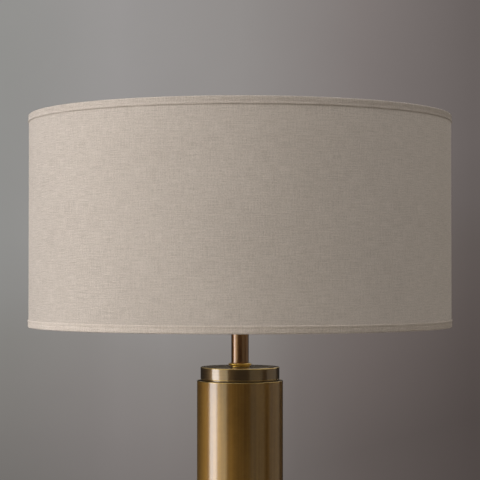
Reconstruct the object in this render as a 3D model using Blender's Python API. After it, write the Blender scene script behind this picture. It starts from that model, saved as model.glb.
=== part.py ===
"""Column floor lamp: a linen drum shade on a harp and socket, a slim neck, a stepped cap and a straight
brass column that stands on a weighted round base. Metres, +Z up, origin on the floor under the column."""

import math

import bmesh
import bpy
from mathutils import Vector

# ---- Driving dimensions ----
GAP = 0.0003                # clearance between pieces that touch on the real lamp

SHADE_RADIUS = 0.254        # over the trim: a 20 inch drum
SHADE_HEIGHT = 0.2523       # a 10 inch drum, nominally 254 mm
SHADE_BOTTOM = 1.2717       # height of the drum's lower edge above the floor
FABRIC = 0.0008             # thickness of the linen, wrapped or folded as trim
LINER = 0.0006              # thickness of the styrene that the linen is laminated to
TRIM_HEIGHT = 0.009
TRIM_RETURN = 0.006         # how far the trim is turned down inside the drum
RING_WIRE = 0.0016          # radius of the shade's two wire rings
ARM_WIRE = 0.0014           # radius of the spider's three arms

NECK_LENGTH_BELOW_SHADE = 0.0485
NECK_RADIUS = 0.0105
NECK_WALL = 0.00135
NECK_RING_RADIUS = 0.014
NECK_RING_HEIGHT = 0.0043
NECK_RING_LIP = 0.0016      # radius of the rounded lip that overhangs the ring's foot

CAP_RADIUS = 0.0475
CAP_HEIGHT = 0.015
CAP_BEVEL = 0.0009
GROOVE_RADIUS = 0.0455      # the recessed step between the cap and the column
GROOVE_HEIGHT = 0.0012

COLUMN_RADIUS = 0.0517
COLUMN_WALL = 0.0012
COLUMN_BEVEL = 0.0006
PLATE_THICKNESS = 0.004     # the discs that close the column's two ends

BASE_RADIUS = 0.150
BASE_HEIGHT = 0.026
BASE_EDGE_RADIUS = 0.008
BASE_WALL = 0.0015
BASE_CLEARANCE = 0.0015     # the cover's edge above the floor
FELT_THICKNESS = 0.003

PIPE_RADIUS = 0.005         # the threaded lamp pipe that ties the lamp together
PIPE_BORE = 0.0035
PIPE_HOLE = 0.0056          # every hole that the pipe passes
PIPE_BOTTOM = 0.0085
CABLE_RADIUS = 0.0018
INLET_HEIGHT = 0.0085       # centre of the cord bushing above the floor

HARP_HEIGHT = 0.2032        # an 8 inch harp, saddle to seat
HARP_WIRE = 0.0018
HARP_FOOT_X = 0.0283
HARP_WIDEST_X = 0.057
STUD_RADIUS = 0.00317       # the finial's thread
STUD_HOLE = 0.0035

SOCKET_RADIUS = 0.0168
SHELL_WALL = 0.0008
THREAD_PITCH = 0.0254 / 7   # medium Edison screw
THREAD_DEPTH = 0.0005       # half the height of the rolled thread
BULB_RADIUS = 0.030

# ---- Levels worked out from the dimensions ----
SHADE_TOP = SHADE_BOTTOM + SHADE_HEIGHT
CAP_TOP = SHADE_BOTTOM - NECK_LENGTH_BELOW_SHADE
COLUMN_TOP = CAP_TOP - CAP_HEIGHT - GROOVE_HEIGHT
FOOT_BOTTOM = BASE_HEIGHT + GAP
FOOT_TOP = FOOT_BOTTOM + CAP_HEIGHT + GROOVE_HEIGHT
COLUMN_BOTTOM = FOOT_TOP + GAP
SADDLE_BOTTOM = SHADE_BOTTOM + 0.0214
SADDLE_TOP = SADDLE_BOTTOM + 0.0012
HARP_SEAT = SADDLE_BOTTOM + HARP_HEIGHT
BOSS_TOP = HARP_SEAT - 0.0018
BOSS_BOTTOM = BOSS_TOP - 0.0038
SOCKET_BOTTOM = SADDLE_TOP + 0.0036
SOCKET_SEAM = SOCKET_BOTTOM + 0.0216   # where the socket's cap meets its shell
SWITCH_HEIGHT = SOCKET_SEAM + 0.0078
SOCKET_MOUTH = SOCKET_SEAM + 0.0385
SPIDER_LEVEL = HARP_SEAT + GAP + 0.0008

SHADE_RING_RADIUS = SHADE_RADIUS - 2 * FABRIC - LINER - 3 * GAP - RING_WIRE
ARM_ANGLES = (90, 210, 330)
SHADE_SEGMENTS = 64


# ---- Materials ----
def finish(name, colour, roughness, metallic=0.0):
    material = bpy.data.materials.new(name)
    material.use_nodes = True
    shader = material.node_tree.nodes["Principled BSDF"]
    shader.inputs["Base Color"].default_value = (*colour, 1.0)
    shader.inputs["Roughness"].default_value = roughness
    shader.inputs["Metallic"].default_value = metallic
    material.diffuse_color = (*colour, 1.0)
    return material


def brass():
    return finish("antique_brass", (0.40, 0.26, 0.11), 0.32, 1.0)


def steel():
    return finish("zinc_steel", (0.50, 0.50, 0.48), 0.40, 1.0)


def linen():
    return finish("natural_linen", (0.52, 0.46, 0.38), 0.90)


def phenolic():
    return finish("black_phenolic", (0.03, 0.025, 0.02), 0.45)


# ---- Mesh helpers ----
def add_object(name, mesh, material, smooth_angle=35.0):
    obj = bpy.data.objects.new(name, mesh)
    bpy.context.collection.objects.link(obj)
    if material is not None:
        mesh.materials.append(material)
    mesh.shade_smooth()
    mesh.set_sharp_from_angle(angle=math.radians(smooth_angle))
    return obj


def mesh_from(name, bm):
    bmesh.ops.recalc_face_normals(bm, faces=bm.faces)
    mesh = bpy.data.meshes.new(name)
    bm.to_mesh(mesh)
    bm.free()
    return mesh


def skin(bm, first, second):
    """Faces between two rings of vertices; a ring of one vertex is a point on the axis."""
    count = max(len(first), len(second))
    if count == 1:
        return
    for i in range(count):
        j = (i + 1) % count
        corners = [first[i % len(first)], first[j % len(first)], second[j % len(second)], second[i % len(second)]]
        bm.faces.new(list(dict.fromkeys(corners)))


def circle_outline(angle):
    return 1.0


def hexagon_outline(angle):
    return 1.0 / math.cos(math.radians((math.degrees(angle) % 60.0) - 30.0))


def turned(name, profile, material, segments=48):
    """A solid turned about Z. The profile's points are (radius, height) or (radius, height, outline),
    where outline(angle) scales the radius. It closes on itself, or on the axis at radius 0."""
    bm = bmesh.new()
    rings = []
    for radius, height, *rest in profile:
        outline = rest[0] if rest else circle_outline
        if radius == 0.0:
            rings.append([bm.verts.new((0.0, 0.0, height))])
            continue
        angles = [2.0 * math.pi * i / segments for i in range(segments)]
        rings.append([
            bm.verts.new((radius * outline(a) * math.cos(a), radius * outline(a) * math.sin(a), height))
            for a in angles
        ])
    following = rings[1:] + (rings[:1] if profile[0][0] > 0.0 else [])
    for ring, after in zip(rings, following):
        skin(bm, ring, after)
    return add_object(name, mesh_from(name, bm), material)


def swept(name, points, radius, material, sides=10):
    """A round bar along a path, with flat ends. The section is carried along without twisting."""
    bm = bmesh.new()
    path = [Vector(point) for point in points]
    tangents = [
        (path[min(i + 1, len(path) - 1)] - path[max(i - 1, 0)]).normalized() for i in range(len(path))
    ]
    side = tangents[0].orthogonal().normalized()
    rings = []
    for point, tangent in zip(path, tangents):
        side = (side - tangent * side.dot(tangent)).normalized()
        up = tangent.cross(side)
        angles = [2.0 * math.pi * i / sides for i in range(sides)]
        rings.append([bm.verts.new(point + radius * (math.cos(a) * side + math.sin(a) * up)) for a in angles])
    for ring, after in zip(rings, rings[1:]):
        skin(bm, ring, after)
    bm.faces.new(rings[0])
    bm.faces.new(rings[-1])
    return add_object(name, mesh_from(name, bm), material)


def box(name, low, high, material):
    bm = bmesh.new()
    bmesh.ops.create_cube(bm, size=1.0)
    low, high = Vector(low), Vector(high)
    for vertex in bm.verts:
        vertex.co = (low + high) / 2.0 + vertex.co * (high - low)
    return add_object(name, mesh_from(name, bm), material)


def flexible(name, points, radius, material):
    """An insulated wire along a smooth route through the given points."""
    curve = bpy.data.curves.new(name, "CURVE")
    curve.dimensions = "3D"
    curve.bevel_depth = radius
    curve.bevel_resolution = 2
    curve.use_fill_caps = True
    curve.materials.append(material)
    spline = curve.splines.new("POLY")
    spline.points.add(len(points) - 1)
    for target, point in zip(spline.points, points):
        target.co = (*point, 1.0)
    obj = bpy.data.objects.new(name, curve)
    bpy.context.collection.objects.link(obj)
    return obj


def combine(target, tool, operation):
    """Cut a tool out of a piece, or weld it on. The tool itself isn't a piece."""
    modifier = target.modifiers.new(tool.name, "BOOLEAN")
    modifier.operation = operation
    modifier.object = tool
    tool.hide_render = True
    tool.display_type = "WIRE"


# ---- Outline helpers ----
def arc(centre_r, centre_z, radius, start, end, steps):
    """Points of a profile arc; angles are in degrees from the outward direction."""
    angles = [math.radians(start + (end - start) * i / steps) for i in range(steps + 1)]
    return [(centre_r + radius * math.cos(a), centre_z + radius * math.sin(a)) for a in angles]


def bezier(first, second, third, fourth, steps):
    """Points of a cubic Bezier after its first point."""
    points = []
    for i in range(1, steps + 1):
        t = i / steps
        s = 1.0 - t
        weights = (s ** 3, 3 * s * s * t, 3 * s * t * t, t ** 3)
        corners = (first, second, third, fourth)
        points.append(tuple(sum(w * c[k] for w, c in zip(weights, corners)) for k in range(len(first))))
    return points


def smooth_route(points, steps):
    """A Catmull-Rom curve through the points, with the given steps between two of them."""
    knots = [Vector(point) for point in points]
    knots = [2 * knots[0] - knots[1]] + knots + [2 * knots[-1] - knots[-2]]
    route = []
    for a, b, c, d in zip(knots, knots[1:], knots[2:], knots[3:]):
        for i in range(steps):
            t = i / steps
            route.append(0.5 * (2 * b + (c - a) * t + (2 * a - 5 * b + 4 * c - d) * t ** 2
                                + (3 * b - a - 3 * c + d) * t ** 3))
    return route + [knots[-2]]


def tube_section(inner, outer, low, high, bevel=0.0):
    """Section of a plain ring or tube, with its outer edges bevelled."""
    if bevel == 0.0:
        return [(outer, low), (outer, high), (inner, high), (inner, low)]
    return [(outer - bevel, low), (outer, low + bevel), (outer, high - bevel), (outer - bevel, high),
            (inner, high), (inner, low)]


def nut(name, bottom, thickness, across_flats, material):
    half = across_flats / 2.0
    chamfer = 0.0006
    top = bottom + thickness
    profile = [
        (half, bottom), (half, bottom + chamfer, hexagon_outline), (half, top - chamfer, hexagon_outline),
        (half, top), (PIPE_HOLE - GAP, top), (PIPE_HOLE - GAP, bottom),
    ]
    return turned(name, profile, material, segments=24)


# ---- Base ----
def make_base():
    turned("felt_pad", [(0.0, 0.0), (0.1465, 0.0), (0.1465, FELT_THICKNESS), (0.0, FELT_THICKNESS)],
           finish("black_felt", (0.04, 0.04, 0.04), 0.95), segments=48)

    edge = BASE_RADIUS - BASE_EDGE_RADIUS
    bend = BASE_HEIGHT - BASE_EDGE_RADIUS
    inside = BASE_RADIUS - BASE_WALL
    outer = [(BASE_RADIUS, BASE_CLEARANCE)] + arc(edge, bend, BASE_EDGE_RADIUS, 0, 90, 5)
    inner = arc(edge, bend, BASE_EDGE_RADIUS - BASE_WALL, 90, 0, 3) + [(inside, BASE_CLEARANCE)]
    hole = [(PIPE_HOLE, BASE_HEIGHT), (PIPE_HOLE, BASE_HEIGHT - BASE_WALL)]
    cover = turned("base_cover", outer + hole + inner, brass(), segments=56)
    inlet = turned("inlet_cutter", [(0.0, 0.0), (0.0046, 0.0), (0.0046, 0.020), (0.0, 0.020)], None, segments=24)
    inlet.rotation_euler = (math.radians(-90), 0.0, 0.0)
    inlet.location = (0.0, 0.140, INLET_HEIGHT)
    combine(cover, inlet, "DIFFERENCE")

    weight_top = BASE_HEIGHT - BASE_WALL - 0.0004
    pocket_roof = 0.018
    bottom = FELT_THICKNESS + 2 * GAP
    profile = [
        (0.1475, bottom), (0.1475, 0.0165), (0.140, weight_top), (PIPE_HOLE, weight_top),
        (PIPE_HOLE, pocket_roof), (0.022, pocket_roof), (0.022, bottom),
    ]
    weight = turned("base_weight", profile, finish("cast_iron", (0.06, 0.06, 0.06), 0.7, 0.6), segments=48)
    channel = box("channel_cutter", (-0.0055, 0.012, bottom - 0.001), (0.0055, 0.155, 0.015), None)
    combine(weight, channel, "DIFFERENCE")

    turned("base_washer", tube_section(PIPE_HOLE - GAP, 0.016, pocket_roof - GAP - 0.002, pocket_roof - GAP),
           steel(), segments=32)
    lock_top = pocket_roof - 2 * GAP - 0.002
    toothed = [
        (0.0085, lock_top - 0.001, lambda a: 1.0 + 0.05 * math.cos(12 * a)),
        (0.0085, lock_top, lambda a: 1.0 + 0.05 * math.cos(12 * a)),
        (PIPE_HOLE - GAP, lock_top), (PIPE_HOLE - GAP, lock_top - 0.001),
    ]
    turned("base_lock_washer", toothed, steel(), segments=24)
    nut("base_nut", lock_top - 0.001 - GAP - 0.005, 0.005, 0.017, steel())

    flange = BASE_RADIUS + GAP
    bushing = turned("cord_bushing", [
        (0.0024, 0.0), (0.0042, 0.0), (0.0042, 0.0083), (0.0060, 0.0083), (0.0060, 0.0096), (0.0050, 0.0104),
        (0.0024, 0.0104),
    ], phenolic(), segments=24)
    bushing.rotation_euler = (math.radians(-90), 0.0, 0.0)
    bushing.location = (0.0, flange - 0.0083, INLET_HEIGHT)


# ---- Column ----
def stepped_disc(bottom_up):
    """Section of the disc at an end of the column: the wide step, then the recessed one beside the column."""
    b = CAP_BEVEL
    section = [
        (PIPE_HOLE, 0.0), (CAP_RADIUS - b, 0.0), (CAP_RADIUS, b), (CAP_RADIUS, CAP_HEIGHT - b),
        (CAP_RADIUS - b, CAP_HEIGHT), (GROOVE_RADIUS, CAP_HEIGHT),
        (GROOVE_RADIUS, CAP_HEIGHT + GROOVE_HEIGHT - GAP), (PIPE_HOLE, CAP_HEIGHT + GROOVE_HEIGHT - GAP),
    ]
    if bottom_up:
        return [(radius, FOOT_BOTTOM + height) for radius, height in section]
    return [(radius, CAP_TOP - height) for radius, height in section]


def make_column():
    turned("column_foot", stepped_disc(bottom_up=True), brass(), segments=48)
    turned("column_cap", stepped_disc(bottom_up=False), brass(), segments=48)
    inner = COLUMN_RADIUS - COLUMN_WALL
    turned("column_tube", tube_section(inner, COLUMN_RADIUS, COLUMN_BOTTOM, COLUMN_TOP, COLUMN_BEVEL), brass(),
           segments=60)
    for name, low in (("column_plate_lower", COLUMN_BOTTOM), ("column_plate_upper", COLUMN_TOP - PLATE_THICKNESS)):
        turned(name, tube_section(PIPE_HOLE, inner - GAP, low, low + PLATE_THICKNESS), steel(), segments=36)
    turned("lamp_pipe", tube_section(PIPE_BORE, PIPE_RADIUS, PIPE_BOTTOM, SOCKET_BOTTOM + 0.0071), steel(),
           segments=24)


# ---- Neck ----
def make_neck():
    low = CAP_TOP + GAP
    washer_bottom = SADDLE_BOTTOM - GAP - 0.001
    nut("cap_nut", low, 0.004, 0.014, steel())
    turned("neck_tube", tube_section(NECK_RADIUS - NECK_WALL, NECK_RADIUS, low, washer_bottom - GAP), brass(),
           segments=32)
    top, lip, foot = low + NECK_RING_HEIGHT, NECK_RING_LIP, NECK_RING_RADIUS - 0.0020
    flare = [(foot, low), (foot, low + 0.0010)] + arc(NECK_RING_RADIUS - lip, top - lip, lip, -60, 90, 4)
    turned("neck_ring", flare + [(NECK_RADIUS + GAP, top), (NECK_RADIUS + GAP, low)], brass(), segments=32)
    turned("neck_washer", tube_section(PIPE_HOLE, NECK_RADIUS, washer_bottom, washer_bottom + 0.001), brass(),
           segments=24)


# ---- Harp ----
def harp_path():
    """Centre line of the bow: up one leg, over the top and down the other."""
    leg_top = SADDLE_TOP + 0.029
    widest = SADDLE_TOP + 0.106
    top = (BOSS_TOP + BOSS_BOTTOM) / 2.0
    crown = (0.0, top)
    side = [(HARP_FOOT_X, SADDLE_TOP + GAP), (HARP_FOOT_X, leg_top)]
    side += bezier((HARP_FOOT_X, leg_top), (HARP_FOOT_X, leg_top + 0.034), (HARP_WIDEST_X, widest - 0.045),
                   (HARP_WIDEST_X, widest), 7)
    side += bezier((HARP_WIDEST_X, widest), (HARP_WIDEST_X, widest + 0.055), (0.042, top), crown, 9)
    path = side + [(-x, z) for x, z in reversed(side[:-1])]
    return [(x, 0.0, z) for x, z in path]


def make_harp():
    saddle = box("harp_saddle", (-0.0310, -0.006, SADDLE_BOTTOM), (0.0310, 0.006, SADDLE_TOP), brass())
    for side, sign in (("left", -1), ("right", 1)):
        edges = sorted((sign * 0.0246, sign * 0.0261))
        tongue = box("tongue_" + side, (edges[0], -0.0018, SADDLE_BOTTOM + 0.0006),
                     (edges[1], 0.0018, SADDLE_TOP + 0.010), None)
        combine(saddle, tongue, "UNION")
    hole = turned("saddle_hole", [(0.0, -0.002), (PIPE_HOLE, -0.002), (PIPE_HOLE, 0.003), (0.0, 0.003)], None,
                  segments=24)
    hole.location.z = SADDLE_BOTTOM
    combine(saddle, hole, "DIFFERENCE")
    nut("saddle_nut", SADDLE_TOP + GAP, 0.003, 0.014, steel())

    bow = swept("harp_bow", harp_path(), HARP_WIRE, brass(), sides=8)
    boss = turned("harp_boss", [(0.0, BOSS_BOTTOM), (0.0075, BOSS_BOTTOM), (0.0075, BOSS_TOP), (0.0, BOSS_TOP)],
                  None, segments=24)
    combine(bow, boss, "UNION")
    bore = turned("boss_bore", [(0.0, BOSS_BOTTOM - 0.003), (STUD_HOLE, BOSS_BOTTOM - 0.003),
                                (STUD_HOLE, BOSS_TOP + 0.003), (0.0, BOSS_TOP + 0.003)], None, segments=24)
    combine(bow, bore, "DIFFERENCE")

    head_top = BOSS_BOTTOM - GAP
    turned("harp_stud", [
        (0.0, head_top - 0.0015), (0.0045, head_top - 0.0015), (0.0045, head_top), (STUD_RADIUS, head_top),
        (STUD_RADIUS, HARP_SEAT - 0.0015), (0.007, HARP_SEAT - 0.0015), (0.007, HARP_SEAT),
        (STUD_RADIUS, HARP_SEAT), (STUD_RADIUS, HARP_SEAT + 0.0146), (STUD_RADIUS - 0.0006, HARP_SEAT + 0.0152),
        (0.0, HARP_SEAT + 0.0152),
    ], steel(), segments=24)

    low = SADDLE_TOP + 0.0004
    for name, sign in (("harp_sleeve_left", -1), ("harp_sleeve_right", 1)):
        sleeve = turned(name, tube_section(0.0038, 0.0046, low, low + 0.012), brass(), segments=24)
        sleeve.location.x = sign * 0.0275


# ---- Socket and switch ----
def thread_row(height, mean_radius):
    """One row of a right-hand rolled thread: the radius swings once around, in step with the height."""
    def outline(angle):
        return 1.0 + THREAD_DEPTH * math.sin(2.0 * math.pi * height / THREAD_PITCH - angle) / mean_radius
    return (mean_radius, height, outline)


def thread_rows(low, high, mean_radius):
    count = round((high - low) / THREAD_PITCH * 4)
    return [thread_row(low + (high - low) * i / count, mean_radius) for i in range(count + 1)]


def make_socket():
    z = SOCKET_BOTTOM
    outer = SOCKET_RADIUS - 0.0005
    wall = SHELL_WALL
    turned("socket_cap", [
        (0.0053, z), (0.0075, z), (0.0075, z + 0.0070), (0.0095, z + 0.0086), (0.0140, z + 0.0112),
        (outer, z + 0.0150), (outer, SOCKET_SEAM - GAP), (outer - wall, SOCKET_SEAM - GAP),
        (outer - wall, z + 0.0154), (0.0134, z + 0.0120), (0.0090, z + 0.0095), (0.0053, z + 0.0082),
    ], brass(), segments=28)

    bead = SOCKET_RADIUS + 0.0006
    inner = SOCKET_RADIUS - wall
    shell = turned("socket_shell", [
        (SOCKET_RADIUS, SOCKET_SEAM), (SOCKET_RADIUS, SOCKET_MOUTH - 0.0100), (bead, SOCKET_MOUTH - 0.0085),
        (SOCKET_RADIUS, SOCKET_MOUTH - 0.0070), (SOCKET_RADIUS, SOCKET_MOUTH - 0.0015), (bead, SOCKET_MOUTH),
        (inner, SOCKET_MOUTH), (inner, SOCKET_SEAM),
    ], brass(), segments=28)
    lining = turned("socket_insulator", tube_section(0.0150, 0.0157, SOCKET_SEAM + GAP, SOCKET_MOUTH - 0.0008),
                    finish("fishpaper", (0.30, 0.22, 0.14), 0.9), segments=28)
    opening = turned("shaft_cutter", [(0.0, 0.0), (0.0028, 0.0), (0.0028, 0.006), (0.0, 0.006)], None, segments=20)
    opening.rotation_euler = (math.radians(90), 0.0, 0.0)
    opening.location = (0.0, -0.0135, SWITCH_HEIGHT)
    combine(shell, opening, "DIFFERENCE")
    combine(lining, opening, "DIFFERENCE")

    body_low, body_high = SOCKET_SEAM + 0.0018, SOCKET_SEAM + 0.0148
    flat = 0.0105

    def flatted(angle):
        return min(1.0, flat / 0.0140 / max(abs(math.cos(angle)), 0.01))

    turned("socket_body", [(0.0, body_low), (0.0140, body_low, flatted), (0.0140, body_high, flatted),
                           (0.0, body_high)], phenolic(), segments=36)
    for name, sign in (("terminal_screw_left", -1), ("terminal_screw_right", 1)):
        screw = turned(name, [(0.0, 0.0), (0.0022, 0.0), (0.0025, 0.0004), (0.0025, 0.0014), (0.0017, 0.0020),
                              (0.0, 0.0020)], brass(), segments=20)
        screw.rotation_euler = (0.0, sign * math.radians(90), 0.0)
        screw.location = (sign * (flat + GAP), 0.0, SOCKET_SEAM + 0.0075)

    contact_low = body_high + GAP
    turned("screw_shell", tube_section(0.0134, 0.0140, contact_low, SOCKET_MOUTH - 0.0025), brass(), segments=28)
    turned("centre_contact", [(0.0, contact_low), (0.0035, contact_low), (0.0030, contact_low + 0.001),
                              (0.0, contact_low + 0.001)], brass(), segments=20)

    shaft = turned("switch_shaft", [(0.0, 0.0), (0.0020, 0.0), (0.0020, 0.0150), (0.0, 0.0150)], brass(),
                   segments=20)
    shaft.location = (0.0, -0.0143, SWITCH_HEIGHT)
    shaft.rotation_euler = (math.radians(90), 0.0, 0.0)

    def fluted(angle):
        return 1.0 + 0.05 * math.cos(12 * angle)

    knob = turned("switch_knob", [
        (0.0023, 0.0), (0.0050, 0.0, fluted), (0.0058, 0.0015, fluted), (0.0054, 0.0115, fluted),
        (0.0042, 0.0135), (0.0, 0.0138), (0.0, 0.0097), (0.0023, 0.0097),
    ], phenolic(), segments=24)
    knob.location = (0.0, -0.0200, SWITCH_HEIGHT)
    knob.rotation_euler = (math.radians(90), 0.0, 0.0)


# ---- Wiring inside the lamp ----
def make_wiring():
    insulation = finish("brown_insulation", (0.10, 0.06, 0.03), 0.6)
    turn = PIPE_BORE - CABLE_RADIUS - 0.0005
    end = SOCKET_BOTTOM + 0.0130
    lower = smooth_route([
        (0.0, 0.1413, INLET_HEIGHT), (0.0, 0.1300, INLET_HEIGHT), (0.0, 0.1050, 0.0062), (0.0, 0.0600, 0.0058),
        (0.0, 0.0200, 0.0057), (0.0, 0.0075, 0.0057), (0.0, 0.0040, 0.0059), (0.0, 0.0018, 0.0073),
        (0.0, turn, 0.0096), (0.0, turn, 0.0180),
    ], 3)
    upper = [(0.0, turn, z) for z in (0.10, 0.40, 0.80, 1.20)] + [(0.0, 0.0, end - 0.008), (0.0, 0.0, end)]
    flexible("supply_cable", lower + upper, CABLE_RADIUS, insulation)
    for name, sign in (("lead_left", -1), ("lead_right", 1)):
        route = smooth_route([
            (sign * 0.0010, 0.0, end + 0.0004), (sign * 0.0040, 0.0, end + 0.0050),
            (sign * 0.0100, 0.0, end + 0.0075), (sign * 0.0123, 0.0, end + 0.0105),
            (sign * 0.0123, 0.0, SOCKET_SEAM + 0.0046),
        ], 3)
        flexible(name, route, 0.0007, insulation)


# ---- Bulb ----
def make_bulb():
    tip = SOCKET_SEAM + 0.0164
    turned("bulb_contact", [(0.0, tip), (0.0032, tip), (0.0045, tip + 0.0014), (0.0, tip + 0.0014)], brass(),
           segments=24)
    base = tip + 0.0014 + GAP
    thread_low, thread_high = base + 0.0030, base + 0.0190
    minor = 0.0120
    rows = thread_rows(thread_low, thread_high, minor + THREAD_DEPTH)
    turned("bulb_base", [(0.0, base), (0.0062, base), (minor - 0.0006, thread_low - 0.0009)] + rows
           + [(0.0131, thread_high + 0.0012), (0.0131, base + 0.0228), (0.0, base + 0.0228)],
           finish("bulb_cap_metal", (0.62, 0.62, 0.60), 0.3, 1.0), segments=20)

    neck, neck_low = 0.0128, base + 0.0228 + GAP
    centre = neck_low + 0.0542
    wall = 0.001
    start = -40
    cheek = (BULB_RADIUS * math.cos(math.radians(start)), centre + BULB_RADIUS * math.sin(math.radians(start)))
    slope = (math.sin(math.radians(-start)), math.cos(math.radians(-start)))
    flare = bezier((neck, neck_low), (neck, neck_low + 0.012),
                   (cheek[0] - 0.014 * slope[0], cheek[1] - 0.014 * slope[1]), cheek, 5)
    globe = arc(0.0, centre, BULB_RADIUS, start, 90, 10)[1:-1]
    outside = [(neck, neck_low)] + flare + globe + [(0.0, centre + BULB_RADIUS)]
    hollow = arc(0.0, centre, BULB_RADIUS - wall, start, 90, 10)[:-1]
    inside = [(0.0, centre + BULB_RADIUS - wall)] + hollow[::-1]
    inside += [(r - wall, z) for r, z in flare[-2::-1]] + [(neck - wall, neck_low)]
    turned("bulb_glass", outside + inside, finish("opal_glass", (0.92, 0.90, 0.86), 0.25), segments=20)


# ---- Shade ----
def make_shade():
    fabric_outer = SHADE_RADIUS - FABRIC - GAP
    liner_outer = fabric_outer - FABRIC - GAP
    edge = FABRIC + GAP
    low, high = SHADE_BOTTOM + edge, SHADE_TOP - edge
    turned("shade_fabric", tube_section(fabric_outer - FABRIC, fabric_outer, low, high), linen(), segments=SHADE_SEGMENTS)
    turned("shade_liner", tube_section(liner_outer - LINER, liner_outer, low, high),
           finish("white_styrene", (0.85, 0.83, 0.78), 0.5), segments=SHADE_SEGMENTS)

    trim_inner = SHADE_RING_RADIUS - RING_WIRE - GAP - FABRIC
    ring_offset = FABRIC + 0.0009 + RING_WIRE

    def folded_trim(name, rim, into):
        """A strip folded over the rim: a leg outside the linen, one inside the wire ring."""
        section = [
            (SHADE_RADIUS, rim), (SHADE_RADIUS, rim + into * TRIM_HEIGHT),
            (SHADE_RADIUS - FABRIC, rim + into * TRIM_HEIGHT), (SHADE_RADIUS - FABRIC, rim + into * FABRIC),
            (trim_inner + FABRIC, rim + into * FABRIC), (trim_inner + FABRIC, rim + into * TRIM_RETURN),
            (trim_inner, rim + into * TRIM_RETURN), (trim_inner, rim),
        ]
        return turned(name, section, linen(), segments=SHADE_SEGMENTS)

    top_trim = folded_trim("shade_trim_top", SHADE_TOP, -1)
    folded_trim("shade_trim_bottom", SHADE_BOTTOM, 1)

    def wire_ring(name, height):
        section = arc(SHADE_RING_RADIUS, height, RING_WIRE, 0, 300, 5)
        return turned(name, section, steel(), segments=SHADE_SEGMENTS)

    wire_ring("shade_bottom_ring", SHADE_BOTTOM + ring_offset)
    ring_height = SHADE_TOP - ring_offset
    spider = wire_ring("shade_spider", ring_height)
    washer = turned("spider_washer", tube_section(STUD_HOLE, 0.0125, SPIDER_LEVEL - 0.0008, SPIDER_LEVEL + 0.0008),
                    None, segments=24)
    for degrees in ARM_ANGLES:
        angle = math.radians(degrees)
        out = Vector((math.cos(angle), math.sin(angle), 0.0))
        path = [out * 0.0080, out * 0.2120]
        path = [point + Vector((0.0, 0.0, SPIDER_LEVEL)) for point in path]
        rim_point = out * SHADE_RING_RADIUS + Vector((0.0, 0.0, ring_height))
        path += bezier(path[-1], path[-1] + out * 0.012, rim_point - out * 0.012 - Vector((0.0, 0.0, 0.012)),
                       rim_point, 5)
        arm = swept(f"spider_arm_{degrees}", path, ARM_WIRE, None, sides=8)
        combine(spider, arm, "UNION")
        slot = box(f"trim_slot_{degrees}", (trim_inner - 0.003, -0.0025, ring_height - 0.008),
                   (trim_inner + FABRIC + 0.0001, 0.0025, ring_height + 0.0012), None)
        slot.rotation_euler.z = angle
        combine(top_trim, slot, "DIFFERENCE")
    combine(spider, washer, "UNION")


# ---- Finial ----
def make_finial():
    """A threaded insert that bears on the spider's washer, and the knob that is pressed on it."""
    low = SPIDER_LEVEL + 0.0008 + GAP
    turned("finial_insert", [
        (STUD_HOLE, low), (0.0080, low), (0.0080, low + 0.0014), (0.0050, low + 0.0014), (0.0050, low + 0.0105),
        (STUD_HOLE, low + 0.0105),
    ], brass(), segments=24)
    seat = low + 0.0014 + GAP
    ball_radius = 0.0095
    ball = seat + 0.0165
    profile = [(0.0053, seat), (0.0080, seat), (0.0084, seat + 0.0012), (0.0066, seat + 0.0034),
               (0.0066, seat + 0.0068)]
    profile += arc(0.0, ball, ball_radius, -42, 90, 9)[:-1]
    profile += [(0.0, ball + ball_radius), (0.0, seat + 0.0128), (0.0053, seat + 0.0128)]
    turned("finial_knob", profile, brass(), segments=24)


def main():
    for obj in list(bpy.data.objects):
        bpy.data.objects.remove(obj, do_unlink=True)
    make_base()
    make_column()
    make_neck()
    make_harp()
    make_socket()
    make_wiring()
    make_bulb()
    make_shade()
    make_finial()


main()
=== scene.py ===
"""The looks of a column floor lamp: linen drum shade, antique brass column and fittings, in a soft studio."""

import math

import bmesh
import bpy
from mathutils import Matrix, Vector


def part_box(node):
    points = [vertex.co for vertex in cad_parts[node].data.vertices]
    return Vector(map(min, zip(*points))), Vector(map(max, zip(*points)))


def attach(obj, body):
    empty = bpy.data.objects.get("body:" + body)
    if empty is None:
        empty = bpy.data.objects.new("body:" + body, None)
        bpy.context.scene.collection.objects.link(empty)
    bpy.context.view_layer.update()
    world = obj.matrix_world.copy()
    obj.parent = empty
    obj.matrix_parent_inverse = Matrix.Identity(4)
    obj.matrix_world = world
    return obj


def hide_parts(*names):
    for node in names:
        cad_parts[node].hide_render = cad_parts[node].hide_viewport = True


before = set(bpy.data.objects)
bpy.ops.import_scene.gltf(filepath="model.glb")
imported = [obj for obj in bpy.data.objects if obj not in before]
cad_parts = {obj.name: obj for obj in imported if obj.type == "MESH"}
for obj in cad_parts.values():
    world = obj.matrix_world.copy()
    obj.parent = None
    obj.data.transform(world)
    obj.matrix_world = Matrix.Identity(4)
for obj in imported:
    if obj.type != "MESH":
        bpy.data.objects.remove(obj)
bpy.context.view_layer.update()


# ---- Measures ----
def radius_of(node):
    low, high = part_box(node)
    return (high.x - low.x) / 2.0


def levels_of(node):
    low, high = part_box(node)
    return low.z, high.z


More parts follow.
